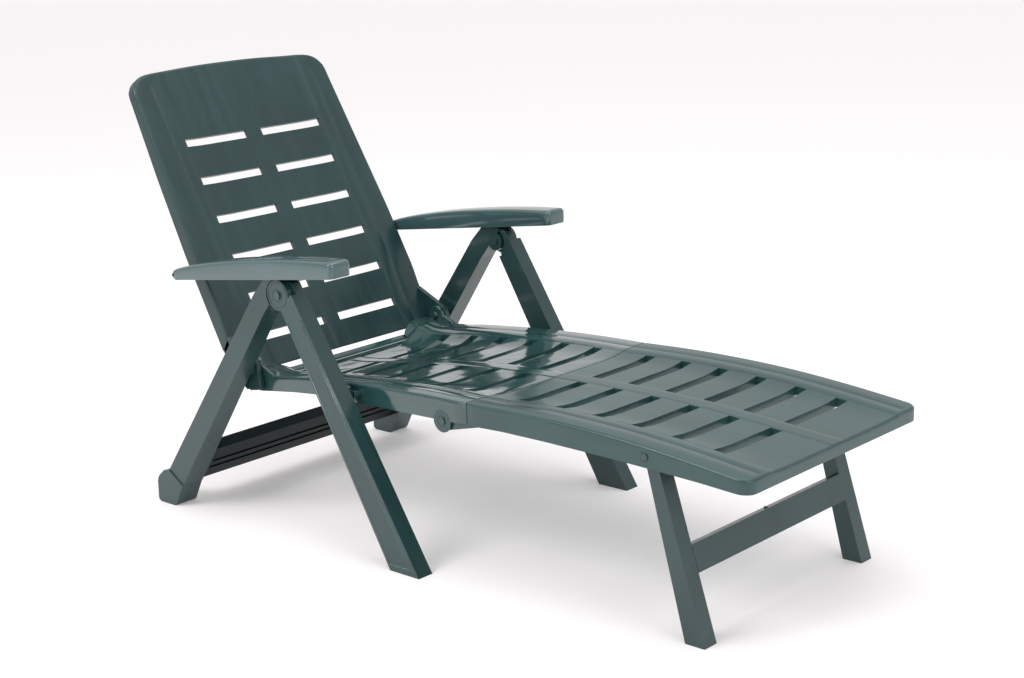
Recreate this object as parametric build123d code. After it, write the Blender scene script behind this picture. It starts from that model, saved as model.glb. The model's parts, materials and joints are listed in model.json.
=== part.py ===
from build123d import *
import os
from math import atan2, cos, hypot, radians, sin

# Reclining sun lounger, moulded in plastic, millimetres.
# +X runs towards the foot end, +Y is the sitter's left, +Z is up and the floor is Z = 0.
# The layout below is drawn with X = 0 at the seam between seat and leg rest.
# At export everything moves along X, so that the origin is the middle of the outline on the floor.

# ---------------------------------------------------------------- overall sizes
PANEL_WIDTH = 580.0          # seat and leg rest over their skirts
SEAT_LENGTH = 668.0          # seam to rear lip
LEGREST_LENGTH = 680.0       # seam to foot end
SEAM_HEIGHT = 372.6          # rim height at the seam between seat and leg rest
BACK_LENGTH_ABOVE = 190.0    # headrest crown above the first row of slots
BACK_LENGTH_BELOW = 557.0    # bottom edge below the first row of slots
BACK_TILT = 61.1             # angle of the back above the floor, as stored
BACK_TOP_WIDTH = 580.0

# ---------------------------------------------------------------- walls and fits
SKIN = 3.5                   # top skin of the panels
WALL = 3.5                   # skirts, arm walls
LEG_WALL = 4.0
RIB = 3.0
FIT = 0.06                   # radial running clearance of a pin
GAP = 0.6                    # flat running clearance between neighbours
SEAM_GAP = 1.5               # seam between seat and leg rest

# ---------------------------------------------------------------- pivots, side view
PIVOT_X, PIVOT_Z = -645.0, 350.0         # seat and back turn here on the rear legs
APEX_X, APEX_Z = -470.0, 545.0           # front legs turn here on the rear legs
ARM_X, ARM_Z = -803.0, 553.0             # arms turn here on the back
KNUCKLE_X, KNUCKLE_Z = -66.0, 324.0      # leg rest turns here on the seat
FOOT_X, FOOT_Z = 451.6, 346.5            # foot frame turns here on the leg rest
CATCH_X, CATCH_Z = -478.0, 590.0         # catch on the rear leg's top, under the arm
PEG_X, PEG_Z = -326.0, 331.0             # seat rests here on the front legs

PIVOT_PIN_R = 7.0
PIVOT_HEAD_R = 8.6
APEX_PIN_R = 6.0
ARM_PIN_R = 6.0
KNUCKLE_PIN_R = 5.0
FOOT_PIN_R = 5.0
CATCH_R = 8.0
PEG_R = 8.0
HEAD = 3.2                   # thickness of a pin's flat head

# ---------------------------------------------------------------- layers across the width
HALF = PANEL_WIDTH / 2
EAR_IN = HALF + 1.5                      # inner face of the back's ears
EAR_THICKNESS = 11.5
EAR_OUT = EAR_IN + EAR_THICKNESS         # outer face of the back's ears, and of the back below the arm pivot
ARM_IN = EAR_OUT + 4.0
ARM_WIDTH = 58.0
ARM_OUT = ARM_IN + ARM_WIDTH
REAR_IN = EAR_OUT + 11.5                 # rear legs
REAR_OUT = ARM_OUT - WALL - 3.5
FRONT_IN = REAR_IN + 3.5                 # front legs
FRONT_OUT = REAR_OUT - 1.0
LAP = REAR_IN + 26.5                     # plane where the two legs lap at the apex
FOOT_SPLAY = 14.0                        # outer face of a rear leg stands out this much at the floor
FOOT_LEG_OUT = HALF - WALL - 1.3
FOOT_LEG_WIDTH = 37.0
FOOT_LEG_IN = FOOT_LEG_OUT - FOOT_LEG_WIDTH

# ---------------------------------------------------------------- slots
BACK_SLOT = 19.0
PANEL_SLOT = 26.0            # slots of the seat and the leg rest
SLOT_IN = 22.0
SLOT_OUT = HALF - 85.0       # the slots end this far inside the skirts
BACK_SLOTS = 6
BACK_PITCH = 96.2
SEAT_SLOTS = 6
SEAT_PITCH = 93.0
SEAT_FIRST = -68.0
LEGREST_SLOTS = 6
LEGREST_PITCH = 95.3
LEGREST_FIRST = 80.0
RIB_DEPTH = 12.0             # flanges along the slots, below the skin

# ---------------------------------------------------------------- cross-section of the dished panels
FLAT = 150.0                 # half-width of the flat middle
RIM = HALF - 50.0            # half-width where the rim begins


# ================================================================ small tools
def box(x0, x1, y0, y1, z0, z1):
    return Solid.make_box(x1 - x0, y1 - y0, z1 - z0).moved(Location((x0, y0, z0)))


def rod(x, z, radius, y0, y1):
    return Solid.make_cylinder(radius, y1 - y0, Plane(origin=(x, y0, z), z_dir=(0, 1, 0)))


def slab(points, y0, y1):
    """A side-view outline given as (x, z), made into a solid from y0 to y1."""
    wire = Wire.make_polygon([Vector(x, y0, z) for x, z in points], close=True)
    return Solid.extrude(Face(wire), Vector(0, y1 - y0, 0))


def rounded_slab(points, y0, y1, radii):
    """The same, with some corners of the outline rounded: {index of point: radius}."""
    face = Face(Wire.make_polygon([Vector(x, y0, z) for x, z in points], close=True))
    for index, radius in radii.items():
        x, z = points[index]
        corner = face.vertices().sort_by_distance(Vector(x, y0, z))[0]
        face = face.fillet_2d(radius, [corner])
    return Solid.extrude(face, Vector(0, y1 - y0, 0))


def plan_slab(points, radii, z0, z1):
    """A plan outline given as (x, y), with rounded corners, made into a solid from z0 to z1."""
    face = Face(Wire.make_polygon([Vector(x, y, z0) for x, y in points], close=True))
    for index, radius in radii.items():
        x, y = points[index]
        corner = face.vertices().sort_by_distance(Vector(x, y, z0))[0]
        face = face.fillet_2d(radius, [corner])
    return Solid.extrude(face, Vector(0, 0, z1 - z0))


def mirrored(shape):
    return shape.mirror(Plane.XZ)


def both_sides(shape):
    return [shape, mirrored(shape)]


def smooth(t):
    t = min(max(t, 0.0), 1.0)
    return t * t * (3 - 2 * t)


def through(knots):
    """A smooth function through a few knots (x, value)."""
    def slope(i):
        low, high = max(i - 1, 0), min(i + 1, len(knots) - 1)
        return (knots[high][1] - knots[low][1]) / (knots[high][0] - knots[low][0])

    def value(x):
        i = 0
        while i < len(knots) - 2 and x > knots[i + 1][0]:
            i += 1
        (x0, v0), (x1, v1) = knots[i], knots[i + 1]
        width = x1 - x0
        t = (x - x0) / width
        if t < 0 or t > 1:
            end = 0 if t < 0 else 1
            return (v0, v1)[end] + slope(i + end) * (x - (x0, x1)[end])
        a, b = slope(i) * width, slope(i + 1) * width
        return v0 + t * a + t * t * (3 * (v1 - v0) - 2 * a - b) + t ** 3 * (a + b - 2 * (v1 - v0))

    return value


def steps(low, high, count):
    return [low + (high - low) * i / count for i in range(count + 1)]


def surface(height, along, across):
    """A smooth surface drawn by a net of poles at these stations."""
    rows = [[Vector(a, b, height(a, b)) for b in across] for a in along]
    return Face.make_bezier_surface(rows)


def layer(face, top, bottom):
    """The space under a surface, from top to bottom below it."""
    return Solid.extrude(face.moved(Location((0, 0, -top))), Vector(0, 0, top - bottom))


def bloom(y):
    """1 over the flat middle of a dished panel, 0 on its rim."""
    return 1 - smooth((abs(y) - FLAT) / (RIM - FLAT))


def slot_boxes(firsts, width, low, high):
    """Cutters for two columns of slots; each first is the slot's middle."""
    cutters = []
    for at in firsts:
        cutter = box(at - width / 2, at + width / 2, SLOT_IN, SLOT_OUT, low, high)
        cutters += both_sides(cutter)
    return cutters


def rib_boxes(firsts, width, start, end, low, high):
    """A cross rib behind each slot, and long ribs beside the columns."""
    ribs = []
    reach = SLOT_OUT + RIB
    for at in firsts:
        ribs.append(box(at + width / 2, at + width / 2 + RIB, -reach, reach, low, high))
    for y in (SLOT_IN - RIB, SLOT_OUT):
        ribs += both_sides(box(start, end, y, y + RIB, low, high))
    return ribs


def joined(shapes):
    return shapes[0].fuse(*shapes[1:])


# ================================================================ profiles
seat_rim = through([(-SEAT_LENGTH, 343), (PIVOT_X, 342), (-585, 337), (-475, 348.5), (-331, 361),
                    (-195, 368.6), (-90, 371.8), (0, SEAM_HEIGHT)])
seat_middle = through([(-SEAT_LENGTH, 316), (-645, 307), (-590, 309), (-475, 325), (-331, 343),
                       (-195, 356), (-90, 362), (0, SEAM_HEIGHT - 8.5)])
legrest_rim = through([(0, SEAM_HEIGHT), (95, 375.8), (190, 377.2), (300, 375.6), (403, 371), (521, 361.3),
                       (600, 352.8), (LEGREST_LENGTH, 343.4)])
legrest_dish = through([(0, 8.5), (250, 9), (520, 7), (LEGREST_LENGTH, 2.5)])
SEAT_SKIRT = [(-SEAT_LENGTH, 290), (-596, 300), (-518, 310), (-450, 316.5), (-317, 320), (-129, 324), (0, 327)]
LEGREST_SKIRT = [(0, 327), (100, 330.5), (211, 330.5), (346, 328.5), (454, 325.5), (576, 321), (LEGREST_LENGTH, 315)]


def seat_height(x, y):
    return seat_rim(x) + (seat_middle(x) - seat_rim(x)) * bloom(y)


def legrest_height(x, y):
    return legrest_rim(x) - legrest_dish(x) * bloom(y)


# ================================================================ seat
SEAT_RELIEF = 32.0           # radius of the seat's rounded rear ends about the back's pivot
SWEEP = 40.6                 # the back's bottom edge sweeps inside this radius
SEAT_EAR_IN = HALF - 10.0
SEAT_EAR_R = 22.0
KNUCKLE_EAR_R = 24.0
TONGUE_OUT = HALF - WALL - 2.0
TONGUE_IN = TONGUE_OUT - 7.0
TONGUE_R = 21.0


def panel(height, x0, x1, skirt, firsts, plan_radii):
    """A dished panel with a skin, skirts all round, slots and ribs."""
    face = surface(height, steps(x0 - 12, x1 + 12, 10), steps(-HALF - 12, HALF + 12, 10))
    outline = [(x0, -HALF), (x1, -HALF), (x1, HALF), (x0, HALF)]
    inner = [(x0 + WALL, -HALF + WALL), (x1 - WALL, -HALF + WALL), (x1 - WALL, HALF - WALL), (x0 + WALL, HALF - WALL)]
    inner_radii = {index: radius - WALL for index, radius in plan_radii.items()}
    side = skirt + [(x1 + 1, skirt[-1][1]), (x1 + 1, 460), (x0 - 1, 460), (x0 - 1, skirt[0][1])]
    shell = layer(face, 0, 150) & plan_slab(outline, plan_radii, 200, 460) & slab(side, -HALF - 1, HALF + 1)
    hollow = layer(face, SKIN, 170) & plan_slab(inner, inner_radii, 180, 460)
    ribs = joined(rib_boxes(firsts, PANEL_SLOT, x0 + 1, x1 - 1, 200, 460))
    ribs = ribs & layer(face, SKIN - 0.5, SKIN + RIB_DEPTH) & plan_slab(inner, inner_radii, 180, 460)
    shell = (shell - hollow).fuse(ribs)
    return shell.cut(*slot_boxes(firsts, PANEL_SLOT, 200, 460))


def seat_panel():
    firsts = [SEAT_FIRST - SEAT_PITCH * i for i in range(SEAT_SLOTS)]
    skirt = [(-SEAT_LENGTH, SEAT_SKIRT[0][1])] + SEAT_SKIRT[1:-1] + [(-SEAM_GAP / 2, SEAT_SKIRT[-1][1])]
    shape = panel(seat_height, -SEAT_LENGTH, -SEAM_GAP / 2, skirt, firsts, {})
    # rounded rear ends, which let the back's bottom edge swing past
    wide = HALF + 5
    relief = box(-SEAT_LENGTH - 5, PIVOT_X + 1, -wide, wide, 317, 420)
    sweep = rod(PIVOT_X, PIVOT_Z, SWEEP, -wide, wide) & box(-SEAT_LENGTH - 5, PIVOT_X + 1, -wide, wide, 250, 420)
    shape = shape - (relief.fuse(sweep) - rod(PIVOT_X, PIVOT_Z, SEAT_RELIEF, -wide - 1, wide + 1))
    # window in the front wall for the leg rest's tongue
    tongue_way = box(-WALL - 2, 1, TONGUE_IN - 1.5, TONGUE_OUT + 1.5, 300, KNUCKLE_Z + TONGUE_R + 3)
    shape = shape.cut(*both_sides(tongue_way))
    # ears for the main pivot
    ear = rod(PIVOT_X, PIVOT_Z, SEAT_EAR_R, SEAT_EAR_IN, HALF)
    cheek = slab([(PIVOT_X - 16, PIVOT_Z), (PIVOT_X - 16, 333), (PIVOT_X, 322), (-600, 303), (-585, 303),
                  (-585, 336), (PIVOT_X + 20, PIVOT_Z + 4)], SEAT_EAR_IN, HALF)
    # round ears for the knuckle
    knuckle = rod(KNUCKLE_X, KNUCKLE_Z, KNUCKLE_EAR_R, HALF - WALL, HALF)
    # brackets that sit on the front legs' pegs
    pad_z = PEG_Z + PEG_R + 0.4
    bracket = slab([(PEG_X - 12, pad_z), (PEG_X + PEG_R + 0.5, pad_z), (PEG_X + PEG_R + 0.5, PEG_Z - 4),
                    (PEG_X + PEG_R + 8, PEG_Z - 4), (PEG_X + PEG_R + 33, pad_z + 4), (PEG_X + PEG_R + 33, pad_z + 10),
                    (PEG_X - 12, pad_z + 10)], HALF - 2, ARM_IN - 1.5)
    for extra in both_sides(ear) + both_sides(cheek) + both_sides(knuckle) + both_sides(bracket):
        shape = shape + extra
    bores = both_sides(rod(PIVOT_X, PIVOT_Z, PIVOT_PIN_R + FIT, SEAT_EAR_IN - 1, HALF + 1))
    bores += both_sides(rod(PIVOT_X, PIVOT_Z, PIVOT_HEAD_R + GAP, SEAT_EAR_IN - 12, SEAT_EAR_IN))
    bores += both_sides(rod(KNUCKLE_X, KNUCKLE_Z, KNUCKLE_PIN_R + FIT, HALF - WALL - 1, HALF + 1))
    return shape.cut(*bores)


# ================================================================ leg rest
FOOT_LUG_IN = FOOT_LEG_IN - 1.0 - 6.0


def legrest_panel():
    firsts = [LEGREST_FIRST + LEGREST_PITCH * i for i in range(LEGREST_SLOTS)]
    skirt = [(SEAM_GAP / 2, LEGREST_SKIRT[0][1])] + LEGREST_SKIRT[1:]
    shape = panel(legrest_height, SEAM_GAP / 2, LEGREST_LENGTH, skirt, firsts, {1: 26, 2: 26})
    tongue = slab([(KNUCKLE_X, KNUCKLE_Z - TONGUE_R), (6, 330), (60, 333), (60, 371), (SEAM_GAP / 2, 369),
                   (SEAM_GAP / 2, KNUCKLE_Z + TONGUE_R), (KNUCKLE_X, KNUCKLE_Z + TONGUE_R)], TONGUE_IN, TONGUE_OUT)
    tongue = tongue + rod(KNUCKLE_X, KNUCKLE_Z, TONGUE_R, TONGUE_IN, TONGUE_OUT)
    lug = rod(FOOT_X, FOOT_Z, 11, FOOT_LUG_IN, FOOT_LUG_IN + 6)
    lug = lug + box(FOOT_X - 11, FOOT_X + 11, FOOT_LUG_IN, FOOT_LUG_IN + 6, FOOT_Z, legrest_rim(FOOT_X) - 2)
    for extra in both_sides(tongue) + both_sides(lug):
        shape = shape + extra
    bores = both_sides(rod(KNUCKLE_X, KNUCKLE_Z, KNUCKLE_PIN_R + FIT, TONGUE_IN - 1, TONGUE_OUT + 1))
    bores += both_sides(rod(FOOT_X, FOOT_Z, FOOT_PIN_R + FIT, FOOT_LUG_IN - 1, HALF + 1))
    return shape.cut(*bores)


# ================================================================ back
TILT = radians(BACK_TILT)
BACK_DIR = (cos(TILT), -sin(TILT))       # down the back
BACK_OUT = (sin(TILT), cos(TILT))        # out of its front face
# the back's front plane lies this far behind the main pivot
BACK_OFFSET = 33.3
BACK_REACH = 548.0                       # the pivot lies this far below the first row of slots
BACK_X = PIVOT_X - BACK_REACH * BACK_DIR[0] - BACK_OFFSET * BACK_OUT[0]
BACK_Z = PIVOT_Z - BACK_REACH * BACK_DIR[1] - BACK_OFFSET * BACK_OUT[1]
BACK_PLANE = Plane(origin=(BACK_X, 0, BACK_Z), x_dir=(BACK_DIR[0], 0, BACK_DIR[1]),
                   z_dir=(BACK_OUT[0], 0, BACK_OUT[1]))
RIM_RAISE = 6.0
FADE_FROM, FADE_TO = 395.0, 478.0       # the raised rims run out between these
PLAIN_END = BACK_LENGTH_BELOW - 52.0     # below this only the skin goes on, past the seat
BACK_EAR_R = 24.0
BOSS_R = 11.0


def back_point(s, h):
    return (BACK_X + s * BACK_DIR[0] + h * BACK_OUT[0], BACK_Z + s * BACK_DIR[1] + h * BACK_OUT[1])


def back_section(s, raised, top, bottom):
    wide, edge = EAR_OUT + 12, raised - top
    points = [(-wide, edge), (-RIM, edge), (-150, -top), (150, -top), (RIM, edge), (wide, edge),
              (wide, -bottom), (-wide, -bottom)]
    return Wire.make_polygon([Vector(s, y, h) for y, h in points], close=True)


def back_layer(top, bottom, start, end):
    """The space between two depths below the back's front; its rims stand proud, except at the lower end."""
    upper = Solid.extrude(Face(back_section(start, RIM_RAISE, top, bottom)), Vector(FADE_FROM - start, 0, 0))
    fade = Solid.make_loft([back_section(FADE_FROM, RIM_RAISE, top, bottom), back_section(FADE_TO, 0, top, bottom)],
                           True)
    lower = Solid.extrude(Face(back_section(FADE_TO, 0, top, bottom)), Vector(end - FADE_TO, 0, 0))
    return upper.fuse(fade, lower)


def back_outline(inset):
    top, low = -BACK_LENGTH_ABOVE + inset, BACK_LENGTH_BELOW + (5 if inset else 0)
    narrow, wide = BACK_TOP_WIDTH / 2 - inset, EAR_OUT - inset
    right = [(top, 0), (top + 3, 120), (top + 10, 225), (top + 13, narrow), (-118, narrow), (250, wide), (low, wide)]
    left = [(s, -y) for s, y in reversed(right[1:])]
    points = right + left
    radii = {3: 48 - inset, 10: 48 - inset}
    if not inset:
        radii.update({6: 14, 7: 14})
    return points, radii


def backrest():
    s0, s1 = -BACK_LENGTH_ABOVE - 12, BACK_LENGTH_BELOW + 12
    outer, outer_radii = back_outline(0)
    inner, inner_radii = back_outline(WALL)
    deep = [(s0, 40), (s0, -18), (60, -29), (480, -36), (PLAIN_END, -30), (PLAIN_END, -SKIN), (s1, -SKIN), (s1, 40)]
    side = slab(deep, -EAR_OUT - 1, EAR_OUT + 1)
    shell = back_layer(0, 60, s0, s1) & plan_slab(outer, outer_radii, -60, 60) & side
    hollow = back_layer(SKIN, 80, s0, s1) & plan_slab(inner, inner_radii, -80, 60)
    firsts = [BACK_PITCH * i for i in range(BACK_SLOTS)]
    ribs = joined(rib_boxes(firsts, BACK_SLOT, -BACK_LENGTH_ABOVE + 3, PLAIN_END, -60, 60) +
                  [box(-95, -95 + RIB, -280, 280, -60, 60), box(PLAIN_END - RIB, PLAIN_END, -295, 295, -60, 60)])
    ribs = ribs & back_layer(SKIN - 0.5, SKIN + RIB_DEPTH, s0, s1) & plan_slab(inner, inner_radii, -80, 60)
    shell = (shell - hollow).fuse(ribs)
    shell = shell.cut(*slot_boxes(firsts, BACK_SLOT, -60, 60))
    shell = shell.moved(BACK_PLANE.location)
    ear = slab([back_point(462, 0), (PIVOT_X - 8, PIVOT_Z + 22), (PIVOT_X + 20, PIVOT_Z + 12), (PIVOT_X + 33, 303),
                (PIVOT_X - 19, 296), back_point(545, -24), back_point(480, -32)], EAR_IN, EAR_OUT)
    ear = ear + rod(PIVOT_X, PIVOT_Z, BACK_EAR_R, EAR_IN, EAR_OUT)
    boss = rod(ARM_X, ARM_Z, BOSS_R, EAR_OUT - 20, EAR_OUT)
    for extra in both_sides(ear) + both_sides(boss):
        shell = shell + extra
    bores = both_sides(rod(PIVOT_X, PIVOT_Z, PIVOT_PIN_R + FIT, EAR_IN - 1, EAR_OUT + 1))
    bores += both_sides(rod(ARM_X, ARM_Z, ARM_PIN_R + FIT, EAR_OUT - 21, EAR_OUT + 1))
    return shell.cut(*bores)


# ================================================================ legs
# A leg's edges are straight lines in side view, from the floor to 500 mm up.
REAR_BACK = (-947.0, -575.0)
REAR_FRONT = (-875.0, -516.0)
FRONT_BACK = (-172.0, -455.0)
FRONT_FRONT = (-88.0, -394.5)
RISE = 500.0
EYE_R = 33.0
REAR_BOSS_R = 22.0
SOLE = 10.0
CAP_TOP = (84.0, 54.0)       # heights of the rear foot cap's upper end, at its back and front edge


def line_x(edge, z):
    return edge[0] + (edge[1] - edge[0]) * z / RISE


def pockets(back, front, levels, y0, y1):
    """Hollows open to the rear, between cross ribs; levels are (low, high) heights."""
    cutters = []
    for low, high in levels:
        outline = [(line_x(back, low) - 60, low), (line_x(front, low) - LEG_WALL * 1.25, low),
                   (line_x(front, high) - LEG_WALL * 1.25, high), (line_x(back, high) - 60, high)]
        cutters.append(slab(outline, y0, y1))
    return cutters


def bays(low, high, count):
    """Equal bays between low and high, with a rib between neighbours."""
    width = (high - low + RIB) / count
    return [(low + i * width, low + (i + 1) * width - RIB) for i in range(count)]


def rear_outer_cut(offset):
    """Everything outside a rear leg's splayed outer face, moved in by offset."""
    low, high = REAR_OUT + FOOT_SPLAY - offset, REAR_OUT - offset
    wire = Wire.make_polygon([Vector(-1100, low, 0), Vector(-1100, high, 560), Vector(-1100, high, 700),
                              Vector(-1100, 460, 700), Vector(-1100, 460, -60),
                              Vector(-1100, low + FOOT_SPLAY * 60 / 560, -60)], close=True)
    return Solid.extrude(Face(wire), Vector(900, 0, 0))


def rear_leg():
    outline = [(line_x(REAR_BACK, CAP_TOP[0]), CAP_TOP[0]), (line_x(REAR_BACK, 540), 540), (-512, 574), (-499, 584),
               (CATCH_X + 14, 584), (-455, 572), (line_x(REAR_FRONT, 500), 500),
               (line_x(REAR_FRONT, CAP_TOP[1]), CAP_TOP[1])]
    leg = slab(outline, REAR_IN, REAR_OUT + 30)
    leg = leg + rod(APEX_X, APEX_Z, REAR_BOSS_R, REAR_IN, LAP - 1)
    leg = leg + rod(CATCH_X, CATCH_Z, CATCH_R, REAR_IN + 3, LAP + 6)
    leg = leg - rear_outer_cut(0)
    # pocket for the front leg's eye
    leg = leg - rod(APEX_X, APEX_Z, EYE_R + 1.5, LAP - 0.5, REAR_OUT + 40)
    hollow = joined(pockets(REAR_BACK, REAR_FRONT, bays(120, 318, 3) + bays(384, 468, 1),
                            REAR_IN + LEG_WALL, REAR_OUT + 40)) - rear_outer_cut(LEG_WALL)
    leg = leg - hollow
    leg = leg - rod(APEX_X, APEX_Z, APEX_PIN_R + FIT, REAR_IN - 1, REAR_OUT + 1)
    return leg - rod(PIVOT_X, PIVOT_Z, PIVOT_PIN_R + FIT, REAR_IN - 1, LAP)


def rear_foot_cap():
    top_back = (line_x(REAR_BACK, CAP_TOP[0]), CAP_TOP[0])
    top_front = (line_x(REAR_FRONT, CAP_TOP[1]), CAP_TOP[1])
    outline = [top_back, (top_back[0] - 17, CAP_TOP[0] - 4), (-928, 58), (-930, 6), (-922, 0), (-868, 0), (-862, 8),
               top_front]
    return rounded_slab(outline, REAR_IN + 1.5, REAR_OUT + FOOT_SPLAY + 1.5, {1: 11, 2: 30, 3: 5, 4: 5, 5: 5, 6: 5})


def front_leg():
    top_z = APEX_Z - 24
    outline = [(line_x(FRONT_BACK, SOLE), SOLE), (line_x(FRONT_BACK, top_z), top_z), (APEX_X, APEX_Z),
               (line_x(FRONT_FRONT, APEX_Z + 6), APEX_Z + 6), (line_x(FRONT_FRONT, SOLE), SOLE)]
    leg = slab(outline, FRONT_IN, FRONT_OUT)
    # the inner half stops short of the rear leg; the outer half carries the eye
    leg = leg - rod(APEX_X, APEX_Z, EYE_R + 4, FRONT_IN - 1, LAP + GAP)
    leg = leg - rod(APEX_X, APEX_Z, EYE_R + 4, LAP, FRONT_OUT + 1)
    leg = leg + rod(APEX_X, APEX_Z, EYE_R, LAP + GAP, FRONT_OUT)
    neck = slab([(-482, 519), (-460, 480), (-400, 500), (-422, 545), (APEX_X + 8, APEX_Z + 20)], LAP + GAP, FRONT_OUT)
    inside = slab([(line_x(FRONT_BACK, 470), 470), (line_x(FRONT_BACK, APEX_Z), APEX_Z),
                   (line_x(FRONT_FRONT, APEX_Z), APEX_Z), (line_x(FRONT_FRONT, 470), 470)], LAP, FRONT_OUT)
    leg = leg + (neck & inside)
    hollow = pockets(FRONT_BACK, FRONT_FRONT, bays(34, 308, 4) + bays(354, 480, 2),
                     FRONT_IN + LEG_WALL, FRONT_OUT - LEG_WALL)
    leg = leg.cut(*hollow)
    leg = leg + rod(PEG_X, PEG_Z, PEG_R, EAR_IN + 1.0, FRONT_IN + 1)
    return leg - rod(APEX_X, APEX_Z, APEX_PIN_R + FIT, LAP - 1, FRONT_OUT + 1)


def front_sole():
    outline = [(line_x(FRONT_BACK, 0), 0), (line_x(FRONT_BACK, SOLE), SOLE), (line_x(FRONT_FRONT, SOLE), SOLE),
               (line_x(FRONT_FRONT, 0), 0)]
    return slab(outline, FRONT_IN, FRONT_OUT)


BAR_LOW, BAR_HIGH = 50.5, 131.5          # heights of the rear bar's front edges
BAR_INSET = 18.0             # the bar's front face behind the legs' front edges, out of the leg rest's sweep
BAR_DEPTH = 27.0


def rear_crossbar():
    low_x, high_x = line_x(REAR_FRONT, BAR_LOW) - BAR_INSET, line_x(REAR_FRONT, BAR_HIGH) - BAR_INSET + 5
    length = hypot(high_x - low_x, BAR_HIGH - BAR_LOW)
    along = ((high_x - low_x) / length, (BAR_HIGH - BAR_LOW) / length)
    inward = (-along[1], along[0])

    def at(u, v):
        return (low_x + u * along[0] + v * inward[0], BAR_LOW + u * along[1] + v * inward[1])

    bar = slab([at(0, 0), at(length, 0), at(length, BAR_DEPTH), at(0, BAR_DEPTH)], -REAR_IN, REAR_IN)
    hollow = slab([at(WALL, WALL + 4), at(length - WALL, WALL + 4), at(length - WALL, BAR_DEPTH + 5),
                   at(WALL, BAR_DEPTH + 5)], -REAR_IN + WALL, REAR_IN - WALL)
    grooves = [slab([at(u, -5), at(u + 9, -5), at(u + 9, 3.5), at(u, 3.5)], -REAR_IN + 22, REAR_IN - 22)
               for u in (0.30 * length, 0.52 * length)]
    ribs = [slab([at(1, WALL), at(length - 1, WALL), at(length - 1, BAR_DEPTH - 4), at(1, BAR_DEPTH - 4)],
                 y - RIB / 2, y + RIB / 2) for y in (-150, 0, 150)]
    bar = bar - hollow
    bar = bar.cut(*grooves)
    return joined([bar] + ribs)


# ================================================================ foot frame
FOOT_BACK = (533.5, 409.0)
FOOT_FRONT = (578.3, 429.0)
FOOT_SOLE = 6.0
FOOT_BAR_LOW, FOOT_BAR_HIGH = 129.0, 181.0
FOOT_BAR_DEPTH = 16.0
FOOT_EYE_R = 12.0


def foot_leg():
    top = FOOT_Z - 16
    outline = [(line_x(FOOT_BACK, FOOT_SOLE), FOOT_SOLE), (line_x(FOOT_BACK, top), top),
               (FOOT_X - 10, FOOT_Z), (FOOT_X + 2, FOOT_Z + 10),
               (line_x(FOOT_FRONT, top) - 2, top + 3), (line_x(FOOT_FRONT, FOOT_SOLE), FOOT_SOLE)]
    leg = slab(outline, FOOT_LEG_IN, FOOT_LEG_OUT)
    leg = leg + rod(FOOT_X, FOOT_Z, FOOT_EYE_R, FOOT_LEG_IN, FOOT_LEG_OUT)
    hollow = pockets(FOOT_BACK, FOOT_FRONT, bays(24, 118, 2) + bays(192, 316, 2),
                     FOOT_LEG_IN + LEG_WALL, FOOT_LEG_OUT - LEG_WALL)
    leg = leg.cut(*hollow)
    return leg - rod(FOOT_X, FOOT_Z, FOOT_PIN_R + FIT, FOOT_LEG_IN - 1, FOOT_LEG_OUT + 1)


def foot_sole():
    outline = [(line_x(FOOT_BACK, 0), 0), (line_x(FOOT_BACK, FOOT_SOLE), FOOT_SOLE),
               (line_x(FOOT_FRONT, FOOT_SOLE), FOOT_SOLE), (line_x(FOOT_FRONT, 0), 0)]
    return slab(outline, FOOT_LEG_IN, FOOT_LEG_OUT)


def foot_crossbar():
    low_x, high_x = line_x(FOOT_FRONT, FOOT_BAR_LOW), line_x(FOOT_FRONT, FOOT_BAR_HIGH)
    back = FOOT_BAR_DEPTH
    bar = slab([(low_x, FOOT_BAR_LOW), (high_x, FOOT_BAR_HIGH), (high_x - back, FOOT_BAR_HIGH - 4),
                (low_x - back, FOOT_BAR_LOW - 4)], -FOOT_LEG_IN, FOOT_LEG_IN)
    hollow = slab([(low_x - WALL, FOOT_BAR_LOW + WALL), (high_x - WALL - 1, FOOT_BAR_HIGH - WALL - 1),
                   (high_x - back - 5, FOOT_BAR_HIGH - WALL - 5), (low_x - back - 5, FOOT_BAR_LOW + WALL - 5)],
                  -FOOT_LEG_IN + WALL, FOOT_LEG_IN - WALL)
    ribs = [slab([(low_x - 1, FOOT_BAR_LOW + 1), (high_x - 2, FOOT_BAR_HIGH - 2), (high_x - back + 3, FOOT_BAR_HIGH - 4),
                  (low_x - back + 3, FOOT_BAR_LOW - 2)], y - RIB / 2, y + RIB / 2) for y in (-120, 0, 120)]
    nub = Solid.make_cylinder(4, 3, Plane(origin=(high_x - 8, 0, FOOT_BAR_HIGH - 3), z_dir=(0, 0, 1)))
    return joined([bar - hollow] + ribs + [nub])


# ================================================================ arms
ARM_SLOPE = 0.12
ARM_END_R = 14.0
ARM_TIP_X = -288.0
RACK_NOTCHES = 5
RACK_PITCH = 36.0
RACK_IN, RACK_WIDTH = REAR_IN + 12.0, 14.0
TIP_RELIEF = 0.6             # gap between the rack's tooth tips and the catch
arm_top = through([(ARM_X - 10, 566), (-736, 582), (-620, 603), (-489, 620), (-378, 630), (ARM_TIP_X, 635)])


def arm_bottom(x):
    return ARM_Z - ARM_END_R + 1 + ARM_SLOPE * (x - ARM_X)


def arm_outline(inset):
    """Side view of an arm; with an inset, its hollow, open below."""
    start, end = ARM_X + (22 if inset else 0), ARM_TIP_X - inset
    crown = [(x, arm_top(x) - inset) for x in steps(start, end, 14)]
    if inset:
        return crown + [(end, arm_bottom(end) - 20), (start, arm_bottom(start) - 20)]
    return crown + [(end, arm_bottom(end)), (start, arm_bottom(start))]


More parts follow.
